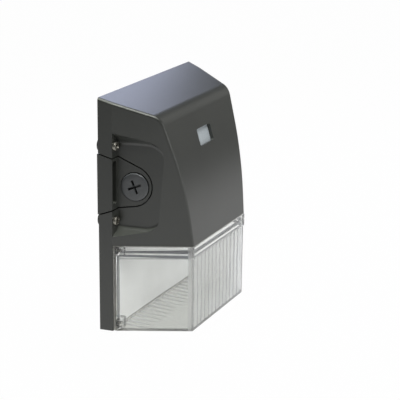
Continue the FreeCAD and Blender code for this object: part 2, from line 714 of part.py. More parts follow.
def cover_screws():
    seats = [point(side, STRIP_DEPTH, height)
             for side in (-SCREW_SIDE, SCREW_SIDE) for height in SCREW_HEIGHTS]
    return group(pan_screw(seat, TO_WALL * -1, SCREW_HEAD_RADIUS, SCREW_HEAD_TALL, SCREW_RADIUS,
                           STRIP_DEPTH + 0.8) for seat in seats)


# ---- the lens and what seals and holds it ----------------------------------

def lens():
    """Clear refractor: flat sides, a fluted front, a ribbed floor and a beaded rim."""
    front = COVER_DEPTH - LENS_STEP
    inner_back = LENS_BACK + LENS_FLANGE
    rim_bottom = LENS_BEADS[0][0]
    body = prism_up(taper_plan(LENS_STEP, LENS_BACK, front, LENS_CORNER), 0, LENS_SEAT)
    bead_plan = taper_plan(-LENS_RIM_PROUD, LENS_BACK, COVER_DEPTH + LENS_RIM_PROUD, LENS_CORNER)
    outer = fuse([body] + [prism_up(bead_plan, low, high) for low, high in LENS_BEADS])
    chamber = prism_up(taper_plan(LENS_WALL, inner_back, front - LENS_FRONT_WALL), LENS_FLOOR, rim_bottom)
    mouth = prism_up(taper_plan(LENS_RIM_WALL, inner_back, front - LENS_RIM_WALL), LENS_FLOOR, LENS_TOP)
    flange_side = REFLECTOR_SIDE - 1.7
    back_opening = block((-flange_side, flange_side), (LENS_BACK - 1, inner_back + 1), (LENS_FLOOR, LENS_TOP))
    shell = cut_all(outer, [chamber, mouth, back_opening])

    flute_depth = front - FLUTE_SKIN - FLUTE_RADIUS
    half_run = (FLUTE_COUNT - 1) / 2
    flutes = [stud((index - half_run) * FLUTE_PITCH, flute_depth, LENS_FLOOR, rim_bottom, FLUTE_RADIUS)
              for index in range(FLUTE_COUNT)]
    shell = shell.cut(flutes[0].multiFuse(flutes[1:]))

    half_run = (FLOOR_RIB_COUNT - 1) / 2
    ribs = [Part.makeCone(FLOOR_RIB_RADIUS, FLOOR_RIB_TIP, FLOOR_RIB_LENGTH,
                          point((index - half_run) * FLUTE_PITCH, LENS_BACK + 0.5, LENS_FLOOR), TO_WALL * -1)
            for index in range(FLOOR_RIB_COUNT)]
    bosses = []
    for height in LENS_SCREW_HEIGHTS:
        low = max(0.5, height - 5)
        high = min(LENS_SEAT, height + 4.6)
        bosses.append(block((-LENS_SCREW_SIDE - 4, -LENS_SCREW_SIDE + 4.2), (LENS_BACK, LENS_BACK + 5),
                            (low, high)))
    shell = shell.fuse(ribs + [boss.common(outer) for boss in both_sides(bosses)])
    hole_radius = LENS_SCREW_RADIUS + THREAD_GAP
    holes = both_sides([post(-LENS_SCREW_SIDE, height, LENS_BACK - 1, LENS_BACK + 4, hole_radius)
                        for height in LENS_SCREW_HEIGHTS])
    return cut_all(shell, holes).removeSplitter()


def lens_gasket():
    """One seal round the lens: under the hood and against the lens frame."""
    margin = 0.6
    width = 2.6
    back = STRIP_DEPTH
    front = COVER_DEPTH - margin
    upper = prism_up(taper_plan(margin, back, front, LENS_CORNER), LENS_SEAT, LENS_TOP)
    opening = taper_plan(margin + width, back - 1, front - width)
    upper = upper.cut(prism_up(opening, LENS_SEAT - 1, LENS_TOP + 1))
    side = taper_side(LENS_BACK) - margin
    lower = block((-side, side), (back, LENS_BACK), (margin, LENS_TOP))
    inner_side = REFLECTOR_SIDE + 0.5
    lower = lower.cut(block((-inner_side, inner_side), (back - 1, LENS_BACK + 1), (LENS_WALL, LENS_TOP + 1)))
    clearance = both_sides([post(-LENS_SCREW_SIDE, height, back - 1, LENS_BACK + 1, LENS_PAD_RADIUS + 0.1)
                            for height in LENS_SCREW_HEIGHTS])
    return cut_all(upper.fuse(lower), clearance).removeSplitter()


def lens_screws():
    seats = [point(side, WEB[0], height)
             for side in (-LENS_SCREW_SIDE, LENS_SCREW_SIDE) for height in LENS_SCREW_HEIGHTS]
    return group(pan_screw(seat, TO_WALL, LENS_SCREW_HEAD_RADIUS, 1.9, LENS_SCREW_RADIUS,
                           LENS_BACK + 3.5 - WEB[0]) for seat in seats)


def reflector():
    """White panel behind the lens, notched round the lens screws."""
    panel = prism_forward(rectangle(-REFLECTOR_SIDE + 0.2, 3.2, REFLECTOR_SIDE - 0.2, LENS_TOP - 0.3),
                          WEB[1] + 0.1, WEB[1] + 1.2)
    notches = both_sides([post(-LENS_SCREW_SIDE, height, 0, 20, LENS_PAD_RADIUS + 0.6)
                          for height in LENS_SCREW_HEIGHTS])
    return cut_all(panel, notches)


# ---- the lamp under the hood -----------------------------------------------

def board_outline(margin):
    return rectangle(-BOARD_SIDE + margin, BOARD_DEPTHS[0] + margin, BOARD_SIDE - margin,
                     BOARD_DEPTHS[1] - margin, 2.0)


def board_holes(radius):
    return [stud(side, depth, BOARD_LOW - 1, LENS_TOP + 1, radius) for side, depth in BOARD_SCREWS]


def thermal_pad():
    return cut_all(prism_up(board_outline(1.0), PAD_LOW, LENS_TOP), board_holes(2.2))


def led_board():
    return cut_all(prism_up(board_outline(0), BOARD_LOW, PAD_LOW), board_holes(1.6))


def led_chips():
    """Rows of lamp chips on the underside of the board."""
    chips = []
    middle_depth = sum(BOARD_DEPTHS) / 2
    for row in range(CHIP_ROWS):
        depth = middle_depth + (row - (CHIP_ROWS - 1) / 2) * CHIP_ROW_PITCH
        for column in range(CHIP_COLUMNS):
            side = (column - (CHIP_COLUMNS - 1) / 2) * CHIP_PITCH
            chips.append(block((side - CHIP_SIZE / 2, side + CHIP_SIZE / 2),
                               (depth - CHIP_SIZE / 2, depth + CHIP_SIZE / 2),
                               (BOARD_LOW - CHIP_TALL, BOARD_LOW)))
    return group(chips)


def led_board_screws():
    return group(pan_screw(point(side, depth, BOARD_LOW), UP * -1, 2.6, 1.8, SMALL_SCREW_RADIUS, 5.0)
                 for side, depth in BOARD_SCREWS)


def led_connector():
    """Push-in terminal on the board's right edge."""
    side, depth = LEAD_HOLE
    body = block((BOARD_SIDE - 8, BOARD_SIDE), (depth - 3.2, depth + 3.2), (BOARD_LOW - 5, BOARD_LOW))
    sockets = []
    for offset in (-LEAD_SPREAD, LEAD_SPREAD):
        mouth = point(BOARD_SIDE + 1, depth + offset, LED_LEAD_LOW)
        sockets.append(Part.makeCylinder(LEAD_RADIUS + 0.1, LED_SOCKET_LENGTH + 1, mouth, ACROSS * -1))
    return cut_all(body, sockets)


def led_leads():
    """Two leads from the driver's right end, down through the hood floor."""
    side, depth = LEAD_HOLE
    leads = []
    for offset in (-LEAD_SPREAD, LEAD_SPREAD):
        leads.append(tube([point(DRIVER_SIDE, depth + offset, DRIVER_LEAD_HEIGHT),
                           point(side, depth + offset, DRIVER_LEAD_HEIGHT),
                           point(side, depth + offset, LED_LEAD_LOW),
                           point(BOARD_SIDE - LED_SOCKET_LENGTH, depth + offset, LED_LEAD_LOW)], LEAD_RADIUS))
    return group(leads)


def lead_grommet():
    """Rubber plug that fills the lead hole round both leads."""
    side, depth = LEAD_HOLE
    low = LENS_TOP - 0.8
    body = stud(side, depth, low, BOX_BOTTOM + LAND_WALL, GROMMET_RADIUS - 0.02)
    body = body.fuse(stud(side, depth, low, LENS_TOP, GROMMET_RADIUS + 1.2))
    lanes = [stud(side, depth + offset, low - 1, BOX_BOTTOM + 8, LEAD_RADIUS + 0.25)
             for offset in (-LEAD_SPREAD, LEAD_SPREAD)]
    return cut_all(body, lanes).removeSplitter()


# ---- driver, photocell and supply leads ------------------------------------

def driver_case():
    body = prism_forward(rectangle(-DRIVER_SIDE, DRIVER_HEIGHTS[0], DRIVER_SIDE, DRIVER_HEIGHTS[1], 2.0),
                         *DRIVER_DEPTHS)
    foot_end = DRIVER_SCREW_SIDE + 3.2
    corners = rectangle(-foot_end, DRIVER_FOOT_HEIGHT - 5, -DRIVER_SIDE + 1, DRIVER_FOOT_HEIGHT + 5)
    foot = prism_forward(corners, DRIVER_DEPTHS[1] - 2, DRIVER_DEPTHS[1])
    hole = post(-DRIVER_SCREW_SIDE, DRIVER_FOOT_HEIGHT, DRIVER_DEPTHS[1] - 3, DRIVER_DEPTHS[1] + 1, 1.6)
    return cut_all(fuse([body] + both_sides([foot])), both_sides([hole]))


def driver_screws():
    seats = [point(side, DRIVER_DEPTHS[1] - 2, DRIVER_FOOT_HEIGHT)
             for side in (-DRIVER_SCREW_SIDE, DRIVER_SCREW_SIDE)]
    return group(pan_screw(seat, TO_WALL, 2.6, 1.8, SMALL_SCREW_RADIUS, 5.8) for seat in seats)


def photocell_window():
    return window_prism(WINDOW_WIDTH + 2 * PANE_MARGIN, WINDOW_TALL + 2 * PANE_MARGIN,
                        -WINDOW_SEAT - WINDOW_THICK, -WINDOW_SEAT, 2.0)


def photocell_gasket():
    outer = window_prism(WINDOW_WIDTH + 2 * PANE_MARGIN, WINDOW_TALL + 2 * PANE_MARGIN,
                         -WINDOW_SEAT, -COVER_WALL, 2.0)
    return outer.cut(window_prism(WINDOW_WIDTH + 0.4, WINDOW_TALL + 0.4, -WINDOW_SEAT - 1, 0, WINDOW_CORNER))


def photocell_holder():
    """Strap that presses the pane to the hood and carries the sensor."""
    back = -WINDOW_SEAT - WINDOW_THICK
    strap = window_prism(2 * HOLDER_SCREW_SIDE + 6, 15.0, back - HOLDER_THICK, back, 3.0)
    holes = both_sides([window_post(-HOLDER_SCREW_SIDE, back - 10, back + 1, 1.6)])
    holes.append(window_post(0, back - 10, back + 1, SENSOR_RADIUS + 0.1))
    return cut_all(strap, holes)


def photocell_screws():
    lean = math.atan(FRONT_SLOPE)
    inward = Vector(0, math.cos(lean), -math.sin(lean))
    sink = WINDOW_SEAT + WINDOW_THICK + HOLDER_THICK
    seats = [point(side, front_depth(WINDOW_HEIGHT), WINDOW_HEIGHT) + inward * sink
             for side in (-HOLDER_SCREW_SIDE, HOLDER_SCREW_SIDE)]
    return group(pan_screw(seat, inward, 2.5, 1.7, SMALL_SCREW_RADIUS, 5.0) for seat in seats)


def photocell_sensor():
    """Round light sensor that looks out through the pane."""
    face = -WINDOW_SEAT - WINDOW_THICK
    body = window_post(0, -SENSOR_BACK, face, SENSOR_RADIUS)
    flange = window_post(0, -SENSOR_BACK, face - HOLDER_THICK - 0.1, SENSOR_RADIUS + 1.4)
    return body.fuse(flange).removeSplitter()


def photocell_leads():
    """Two leads from the sensor's back, looped down to the driver's back."""
    lean = math.atan(FRONT_SLOPE)
    inward = Vector(0, math.cos(lean), -math.sin(lean))
    leads = []
    for side in (-2.6, 2.6):
        start = point(side, front_depth(WINDOW_HEIGHT), WINDOW_HEIGHT) + inward * SENSOR_BACK
        leads.append(tube([start, start + inward * 10, point(side, 23, 126), point(side, 26, 112),
                           point(side, DRIVER_DEPTHS[0], 112)], LEAD_RADIUS))
    return group(leads)


def supply_leads():
    """Line and neutral leads from the driver's top to their connectors."""
    leads = []
    for side in SUPPLY_SIDES:
        leads.append(tube([point(side, 46, DRIVER_HEIGHTS[1]), point(side, 46, 133),
                           point(side, 37, SUPPLY_HEIGHT),
                           point(side, SUPPLY_MOUTH - CONNECTOR_HOLLOW, SUPPLY_HEIGHT)], SUPPLY_LEAD_RADIUS))
    return group(leads)


def supply_connectors():
    return group(twist_connector(point(side, SUPPLY_MOUTH, SUPPLY_HEIGHT), TO_WALL) for side in SUPPLY_SIDES)


# ---- write one file for each piece -----------------------------------------

NODES = {
    "back_box": back_box,
    "closure_plug_left": closure_plug,
    "closure_plug_right": lambda: mirrored(closure_plug()),
    "ground_screw": ground_screw,
    "ground_lead": ground_lead,
    "ground_connector": ground_connector,
    "cover": cover,
    "cover_gasket": cover_gasket,
    "cover_screws": cover_screws,
    "lens": lens,
    "lens_gasket": lens_gasket,
    "lens_screws": lens_screws,
    "reflector": reflector,
    "thermal_pad": thermal_pad,
    "led_board": led_board,
    "led_chips": led_chips,
    "led_board_screws": led_board_screws,
    "led_connector": led_connector,
    "led_leads": led_leads,
    "lead_grommet": lead_grommet,
    "driver_case": driver_case,
    "driver_screws": driver_screws,
    "photocell_window": photocell_window,
    "photocell_gasket": photocell_gasket,
    "photocell_holder": photocell_holder,
    "photocell_screws": photocell_screws,
    "photocell_sensor": photocell_sensor,
    "photocell_leads": photocell_leads,
    "supply_leads": supply_leads,
    "supply_connectors": supply_connectors,
}


def main():
    os.makedirs("parts", exist_ok=True)
    for name, make in NODES.items():
        shape = make()
        if not shape.isValid():
            raise ValueError("not a valid solid: " + name)
        print(name, len(shape.Solids), round(shape.Volume, 1))
        shape.exportStep(os.path.join("parts", name + ".step"))


main()
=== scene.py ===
"""Wall pack light: finishes for its castings, lens, lamp and wiring, and the
studio that it is seen in.

All places are in metres in the part's own frame: X to the right, Y into the
wall and Z up, with the origin on the wall face.
"""

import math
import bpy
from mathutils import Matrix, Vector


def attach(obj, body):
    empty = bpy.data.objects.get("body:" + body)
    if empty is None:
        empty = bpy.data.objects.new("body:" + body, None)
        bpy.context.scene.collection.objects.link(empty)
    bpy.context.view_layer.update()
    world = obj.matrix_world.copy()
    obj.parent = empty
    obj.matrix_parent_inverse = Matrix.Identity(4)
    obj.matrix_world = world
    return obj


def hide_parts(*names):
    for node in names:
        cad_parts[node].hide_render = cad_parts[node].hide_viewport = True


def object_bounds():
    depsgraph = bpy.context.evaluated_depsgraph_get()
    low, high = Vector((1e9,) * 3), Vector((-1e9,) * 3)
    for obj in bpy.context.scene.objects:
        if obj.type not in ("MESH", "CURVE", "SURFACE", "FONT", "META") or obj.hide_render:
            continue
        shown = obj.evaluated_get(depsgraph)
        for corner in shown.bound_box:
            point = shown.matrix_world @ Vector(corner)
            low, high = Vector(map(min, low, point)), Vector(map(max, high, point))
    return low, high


bl_info = {
    "name": "Wall Pack Light",
    "version": (1, 0, 0),
    "blender": (4, 5, 0),
    "location": "3D View > Sidebar > Wall Light",
    "description": "Finishes the castings, lens, lamp and wiring of a wall pack light",
    "category": "Object",
}

import bmesh
import bpy
from mathutils import Matrix, Vector

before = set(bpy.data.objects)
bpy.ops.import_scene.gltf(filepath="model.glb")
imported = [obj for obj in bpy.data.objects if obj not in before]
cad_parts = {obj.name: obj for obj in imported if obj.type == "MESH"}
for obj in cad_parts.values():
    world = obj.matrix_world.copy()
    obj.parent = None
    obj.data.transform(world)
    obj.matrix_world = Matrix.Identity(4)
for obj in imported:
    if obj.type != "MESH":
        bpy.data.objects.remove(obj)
CAD_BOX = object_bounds()
MM = 0.001

WALL_GAP = 1.6 * MM                     # the part's depths are counted from this far off the wall
MIDDLE_HEIGHT = 121.5 * MM              # and its heights from this far below the origin
SEAT_DEPTH = 11 * MM                    # depth of the cover screws' seats and the pockets' back edges
FLOOR_SIDE = 66.6 * MM                  # from the middle to where a pocket floor begins
FLOOR_DRAFT = math.radians(10)          # lean of the pocket floors
SIDE_TAPER = math.radians(26.5)         # turn of the hood's sides towards its front
HUB_DEPTH = 24.5 * MM                   # middle of the conduit hubs
HUB_HEIGHT = 119.1 * MM
FLUTE_PITCH = 6.9 * MM                  # between the flutes of the lens's front
INNER_FACE = (-68.3 * MM, -65.5 * MM)   # Y between which the inner face of the lens's front lies
LENS_FLOOR_TOP = (1.85 * MM, 2.2 * MM)  # heights between which the painted shade on the lens's floor fades out

EDGE_HIGHLIGHT_GAIN = 7.0                         # how many times lighter the paint is under the painted highlight on upward edges
EDGE_HIGHLIGHT_FACING = (0.22, 0.42)              # how much an edge faces up and sideways, from no painted highlight to full
EDGE_HIGHLIGHT_HEIGHTS = (20 * MM, 45 * MM)       # Z below which the painted highlight is halved, and above which it is full
FLOOR_SHOWN = 0.985                     # share of the floor that the camera sees as plain white


# ---- materials --------------------------------------------------------------

class Level:
    """One value in a material; arithmetic on it adds Math nodes."""

    def __init__(self, nodes, socket):
        self.nodes = nodes
        self.socket = socket

    def __add__(self, other):
        return self.nodes.math("ADD", self, other)

    __radd__ = __add__

    def __rsub__(self, other):
        return self.nodes.math("SUBTRACT", other, self)

    def __mul__(self, other):
        return self.nodes.math("MULTIPLY", self, other)

    __rmul__ = __mul__


class Nodes:
    """Adds nodes to the tree of a material or a world."""

    def __init__(self, owner):
        owner.use_nodes = True
        self.tree = owner.node_tree
        self.tree.nodes.clear()

    def add(self, kind, settings=None, sockets=None, output=0):
        """A node with its settings made first, then its values and links."""
        node = self.tree.nodes.new(kind)
        for name, value in (settings or {}).items():
            setattr(node, name, value)
        for name, value in (sockets or {}).items():
            if isinstance(value, Level):
                self.tree.links.new(value.socket, node.inputs[name])
            else:
                node.inputs[name].default_value = value
        return None if output is None else Level(self, node.outputs[output])

    def math(self, operation, first, second=0.0):
        """A Math node on values or numbers."""
        return self.add("ShaderNodeMath", {"operation": operation}, {0: first, 1: second})

    def rays(self, *kinds):
        """1 for a ray of one of these kinds, otherwise 0."""
        found = 0.0
        for kind in kinds:
            ray = self.add("ShaderNodeLightPath", output=kind)
            found = self.math("MAXIMUM", ray, found)
        return found


class Finish(Nodes):
    """A material built node by node."""

    def __init__(self, name):
        self.material = bpy.data.materials.new(name)
        super().__init__(self.material)
        self.place = self.add("ShaderNodeTexCoord", output="Object")

    def noise(self, size, detail=2.0, stretch=(1.0, 1.0, 1.0)):
        """Noise whose lumps are about size metres across."""
        place = self.add("ShaderNodeMapping", {}, {"Vector": self.place, "Scale": stretch})
        return self.add("ShaderNodeTexNoise", {},
                        {"Vector": place, "Scale": 0.5 / size, "Detail": detail}, "Fac")

    def along(self, vector, axis):
        """How far a vector reaches along the X, Y or Z axis."""
        return self.add("ShaderNodeSeparateXYZ", {}, {"Vector": vector}, axis)

    def step(self, level, low, high):
        """0 below low and 1 above high, smooth between."""
        return self.add("ShaderNodeMapRange", {"interpolation_type": "SMOOTHSTEP"},
                        {"Value": level, "From Min": low, "From Max": high})

    def blend(self, amount, first, second):
        """A colour between two colours."""
        return self.add("ShaderNodeMix", {"data_type": "RGBA"},
                        {"Factor": amount, 6: self.colour(first), 7: self.colour(second)}, 2)

    def colour(self, value):
        """A link as it is, or a colour with its alpha."""
        return value if isinstance(value, Level) else (*value, 1.0)

    def bump(self, height, depth):
        """A bump whose full height is depth metres."""
        return self.add("ShaderNodeBump", {}, {"Height": height, "Distance": depth, "Strength": 1.0})

    def principled(self, **sockets):
        """The Principled shader, with its sockets by name."""
        named = {name.replace("_", " "): value for name, value in sockets.items()}
        named["Base Color"] = self.colour(named["Base Color"])
        return self.add("ShaderNodeBsdfPrincipled", {}, named)

    def surface(self, **sockets):
        """An ordinary finish: one Principled shader."""
        return self.end(self.principled(**sockets))

    def let_lamps_through(self, body, tint):
        """A clear finish that lamps shine through."""
        shadow = self.rays("Is Shadow Ray")
        open_way = self.add("ShaderNodeBsdfTransparent", {}, {"Color": self.colour(tint)})
        return self.end(self.add("ShaderNodeMixShader", {}, {0: shadow, 1: body, 2: open_way}))

    def end(self, shader):
        """Ends the material in this shader."""
        self.add("ShaderNodeOutputMaterial", {}, {"Surface": shader}, None)
        return self.material


def shaded(colour, amount):
    """The colour made lighter or darker by a plain factor."""
    return tuple(min(1.0, part * amount) for part in colour)


def painted_edge_highlight(finish):
    """Painted highlight: 1 where the form faces up and sideways at once, as a lamp above lights it, and
    half as much low down.
    """
    facing = finish.add("ShaderNodeTexCoord", output="Normal")
    sideways = finish.math("ABSOLUTE", finish.along(facing, "X"))
    edge = finish.step(sideways * finish.along(facing, "Z"), *EDGE_HIGHLIGHT_FACING)
    return edge * (0.5 + 0.5 * finish.step(finish.along(finish.place, "Z"), *EDGE_HIGHLIGHT_HEIGHTS))


def powder_coat(name, colour, roughness, grain):
    """Baked powder paint: fine orange peel over faint casting waves, with a painted highlight on up-facing
    edges.
    """
    finish = Finish(name)
    peel = finish.noise(0.45 * MM, detail=3.0)
    speck = finish.noise(0.16 * MM, detail=1.0)
    wave = finish.noise(9 * MM, detail=2.0)
    cloud = finish.noise(26 * MM, detail=3.0)
    tone = finish.blend(finish.step(cloud, 0.3, 0.7), shaded(colour, 0.93), shaded(colour, 1.07))
    tone = finish.blend(finish.step(speck, 0.58, 0.75) * 0.35, tone, shaded(colour, 1.6))
    # painted highlight: edges that face up and sideways are made lighter, as a lamp above lights them
    tone = finish.blend(painted_edge_highlight(finish) * (0.55 + 0.45 * wave), tone, shaded(colour, EDGE_HIGHLIGHT_GAIN))
    relief = peel + speck * 0.3 + wave * 0.5
    return finish.surface(Base_Color=tone, Roughness=roughness - 0.05 + 0.1 * peel,
                          Normal=finish.bump(relief, grain), IOR=1.5, Specular_IOR_Level=0.8)


def moulded_plastic(name, colour, roughness, grain=0.00002, coat=0.0):
    """Opaque moulded plastic with a fine spark-eroded grain."""
    finish = Finish(name)
    fine = finish.noise(0.35 * MM, detail=2.0)
    cloud = finish.noise(12 * MM)
    tone = finish.blend(finish.step(cloud, 0.3, 0.7), shaded(colour, 0.95), shaded(colour, 1.04))
    return finish.surface(Base_Color=tone, Roughness=roughness - 0.06 + 0.12 * fine,
                          Normal=finish.bump(fine, grain), Coat_Weight=coat, Coat_Roughness=0.15)


def soft_rubber(name, colour):
    """Silicone: dull, with a faint bloom."""
    finish = Finish(name)
    bloom = finish.noise(3 * MM, detail=4.0)
    fine = finish.noise(0.5 * MM)
    tone = finish.blend(finish.step(bloom, 0.45, 0.75), colour, shaded(colour, 1.35))
    return finish.surface(Base_Color=tone, Roughness=0.62 + 0.14 * fine,
                          Normal=finish.bump(fine, 0.00004))


def plated_steel(name, colour, roughness):
    """Zinc plate: drawn grain, with duller patches."""
    finish = Finish(name)
    grain = finish.noise(0.25 * MM, detail=3.0, stretch=(1.0, 1.0, 0.15))
    patch = finish.noise(1.4 * MM, detail=3.0)
    tone = finish.blend(finish.step(patch, 0.35, 0.7), shaded(colour, 0.82), colour)
    return finish.surface(Base_Color=tone, Metallic=1.0, Roughness=roughness - 0.08 + 0.2 * patch,
                          Normal=finish.bump(grain, 0.000012))


def clear_plastic(name, tint, floor_shade_tint, roughness, ior, haze):
    """Clear moulded polycarbonate: painted shade greying its floor, painted shade in dark lines at the
    roots between the flutes, and a light haze.
    """
    finish = Finish(name)
    flow = finish.noise(7 * MM, detail=1.0, stretch=(1.0, 1.0, 0.35))
    side, ahead, height = (finish.along(finish.place, axis) for axis in "XYZ")
    # painted shade: the lens's floor is greyed as if the shadowed paper below showed through it
    painted_floor_shade = 1 - finish.step(height, *(top - MIDDLE_HEIGHT for top in LENS_FLOOR_TOP))
    tone = finish.blend(painted_floor_shade, tint, floor_shade_tint)
    half_pitch = FLUTE_PITCH / 2
    # painted shade: dark lines at the roots between the flutes on the inner face, where refraction shows
    # dark
    root_shade = finish.step(finish.math("PINGPONG", side, half_pitch), 0.64 * half_pitch, 0.96 * half_pitch)
    past_outer, past_inner = (finish.step(ahead, end - 0.1 * MM, end + 0.1 * MM) for end in INNER_FACE)
    inner_face = past_outer * (1 - past_inner)
    tone = finish.blend(root_shade * inner_face, tone, shaded(tint, 0.12))
    glass = finish.principled(Base_Color=tone, Transmission_Weight=1.0, IOR=ior,
                              Roughness=roughness, Normal=finish.bump(flow, 0.000001))
    milk = finish.add("ShaderNodeBsdfTranslucent", {}, {"Color": finish.colour(shaded(tint, 0.96))})
    scatter = haze + 0.24 * inner_face * (1 - root_shade)
    body = finish.add("ShaderNodeMixShader", {}, {0: scatter, 1: glass, 2: milk})
    return finish.let_lamps_through(body, tint)


def floor_paper(middle, reach, through):
    """Pale paper, plain white to the camera, through the lens, and to gloss within reach of the middle."""
    finish = Finish("floor_paper")
    fibre = finish.noise(4 * MM, detail=3.0)
    tone = finish.blend(fibre, (0.86, 0.86, 0.86), (0.9, 0.9, 0.9))
    paper = finish.add("ShaderNodeBsdfDiffuse", {}, {"Color": tone})
    white = finish.add("ShaderNodeEmission", {}, {"Color": (1, 1, 1, 1), "Strength": 1.0})
    far = finish.add("ShaderNodeVectorMath", {"operation": "DISTANCE"},
                     {0: finish.place, 1: middle}, "Value")
    near = 1 - finish.step(far, reach * 0.6, reach)
    glossy = finish.rays("Is Glossy Ray") * near
    seen = finish.math("MAXIMUM", glossy, finish.rays("Is Camera Ray") * FLOOR_SHOWN)
    open_floor = finish.add("ShaderNodeMixShader", {}, {0: seen, 1: paper, 2: white})
    behind_lens = finish.add("ShaderNodeEmission", {},
                             {"Color": (0.99, 1.0, 0.985, 1), "Strength": through})
    passing = finish.rays("Is Transmission Ray")
    return finish.end(finish.add("ShaderNodeMixShader", {}, {0: passing, 1: open_floor, 2: behind_lens}))


# ---- shapes -----------------------------------------------------------------

def spot(side, depth, height):
    """The place in the scene of a side, depth and height in the part's own plan."""
    return Vector((side, -WALL_GAP - depth, height - MIDDLE_HEIGHT))


def moved(made):
    """The vertices among what an operator made."""
    return [item for item in made if isinstance(item, bmesh.types.BMVert)]


def lathe_disc(radius, segments=48):
    """A flat round face to grow a turned form from."""
    form = bmesh.new()
    bmesh.ops.create_circle(form, cap_ends=True, segments=segments, radius=radius)
    return form


def grow_rings(form, start, rings, edges=None):
    """Draws an open rim out to each (radius, rise) in turn, and closes the last."""
    edges = edges or [edge for edge in form.edges if edge.is_boundary]
    radius, rise = start
    for next_radius, next_rise in rings:
        made = bmesh.ops.extrude_edge_only(form, edges=edges)["geom"]
        verts = moved(made)
        size = next_radius / radius
        bmesh.ops.scale(form, verts=verts, vec=(size, size, 1))
        bmesh.ops.translate(form, verts=verts, vec=(0, 0, next_rise - rise))
        ends = set(verts)
        edges = [item for item in made
                 if isinstance(item, bmesh.types.BMEdge) and ends.issuperset(item.verts)]
        radius, rise = next_radius, next_rise
    bmesh.ops.contextual_create(form, geom=edges)


def sink_cross(form, arm, half_width, sink, taper):
    """Cuts a cross recess into the flat disc; it narrows to taper of its size at the bottom."""
    for across in (Vector((1, 0, 0)), Vector((0, 1, 0))):
        for place in (-arm, -half_width, half_width, arm):
            bmesh.ops.bisect_plane(form, geom=form.verts[:] + form.edges[:] + form.faces[:],
                                   dist=1e-9, plane_co=across * place, plane_no=across)
    cross = []
    for face in form.faces:
        centre = face.calc_center_median()
        near, far = sorted((abs(centre.x), abs(centre.y)))
        if near < half_width and far < arm:
            cross.append(face)
    verts = moved(bmesh.ops.extrude_face_region(form, geom=cross)["geom"])
    bmesh.ops.delete(form, geom=[face for face in cross if face.is_valid], context="FACES")
    bmesh.ops.scale(form, verts=verts, vec=(taper, taper, 1))
    bmesh.ops.translate(form, verts=verts, vec=(0, 0, -sink))


def thread(minor, major, top, bottom, pitch):
    """Rings of a screw thread from top down to bottom."""
    rings = []
    for turn in range(int((top - bottom) / pitch)):
        high = top - turn * pitch
        rings += [(minor, high), (major, high - 0.3 * pitch), (major, high - 0.5 * pitch),
                  (minor, high - 0.8 * pitch)]
    return rings


def set_out(form, places):
    """Replaces the form with a copy at each place."""
    source = form.verts[:] + form.edges[:] + form.faces[:]
    for place in places:
        made = bmesh.ops.duplicate(form, geom=source)["geom"]
        bmesh.ops.transform(form, matrix=place, verts=moved(made))
    bmesh.ops.delete(form, geom=source, context="VERTS")


def stand(name, form, material, body, slot, *nodes, crease=38):
    """Makes the form a piece that rides on a body, in place of any CAD nodes named."""
    bmesh.ops.recalc_face_normals(form, faces=form.faces)
    mesh = bpy.data.meshes.new(name)
    form.to_mesh(mesh)
    form.free()
    if "custom_normal" in mesh.attributes:      # a CAD node's own, stale once its triangles are joined
        mesh.attributes.remove(mesh.attributes["custom_normal"])
    mesh.shade_smooth()
    mesh.set_sharp_from_angle(angle=math.radians(crease))
    mesh.materials.append(material)
    piece = bpy.data.objects.new(name, mesh)
    bpy.context.scene.collection.objects.link(piece)
    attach(piece, body)
    if nodes:
        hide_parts(*nodes)


def bar(form, ends, across, wide):
    """A bar between two ends, each (side, depth, low, high) in millimetres; wide is its width across."""
    for vert in bmesh.ops.create_cube(form, size=1.0)["verts"]:
        side, depth, low, high = ends[1] if vert.co.x > 0 else ends[0]
        off = wide if vert.co.y > 0 else 0
        height = high if vert.co.z > 0 else low
        vert.co = spot((side + across[0] * off) * MM, (depth + across[1] * off) * MM, height * MM)


def lens_side(depth, inset):
    """From the middle to a line inside the lens's tapering side wall, all in millimetres."""
    back_side, back_depth = 76.76, 11.0
    return back_side - (depth - back_depth) * math.tan(SIDE_TAPER) - inset / math.cos(SIDE_TAPER)


def rim_shade_cords_form():
    """Painted shade: dark cords behind the lens's beads, tapered along both sides, and a strip beside each
    end of the white panel, put where the rim and the panel's edges show shade."""
    form = bmesh.new()
    back, front, cord = 14, 62.6, 0.7
    side_inset, front_inset = 4.4, 5.2
    side_cords = [((65.4, 66.5), (64.6, 67.8)), ((62.3, 63.6), (60.6, 63.2))]   # heights, back and front
    front_cords = [(60.2, 61.3), (63.6, 66.4)]
    strip_side, strip_depths, strip_heights, strip_wide = 70.4, (11.05, 12.2), (10.4, 62.6), 1.5
    for turn in (-1, 1):
        near, far = (turn * lens_side(depth, side_inset) for depth in (back, front))
        for back_heights, front_heights in side_cords:
            bar(form, [(near, back, *back_heights), (far, front, *front_heights)], (-turn, 0), cord)
        strip = [(turn * strip_side, depth, *strip_heights) for depth in strip_depths]
        bar(form, strip, (-turn, 0), strip_wide)
    reach = lens_side(front, front_inset)
    for heights in front_cords:
        bar(form, [(-reach, front, *heights), (reach, front, *heights)], (0, -1), cord)
    return form


def chip_block():
    """A lamp chip's block, standing on zero, with its upright edges rounded."""
    wide, thick, corner = 3 * MM, 0.6 * MM, 0.35 * MM
    form = bmesh.new()
    bmesh.ops.create_cube(form, size=1.0)
    bmesh.ops.scale(form, verts=form.verts, vec=(wide, wide, thick))
    bmesh.ops.translate(form, verts=form.verts, vec=(0, 0, thick / 2))
    upright = [edge for edge in form.edges
               if abs(edge.verts[0].co.z - edge.verts[1].co.z) > thick / 2]
    bmesh.ops.bevel(form, geom=upright, offset=corner, affect="EDGES", segments=2, profile=0.5,
                    material=-1)
    return form


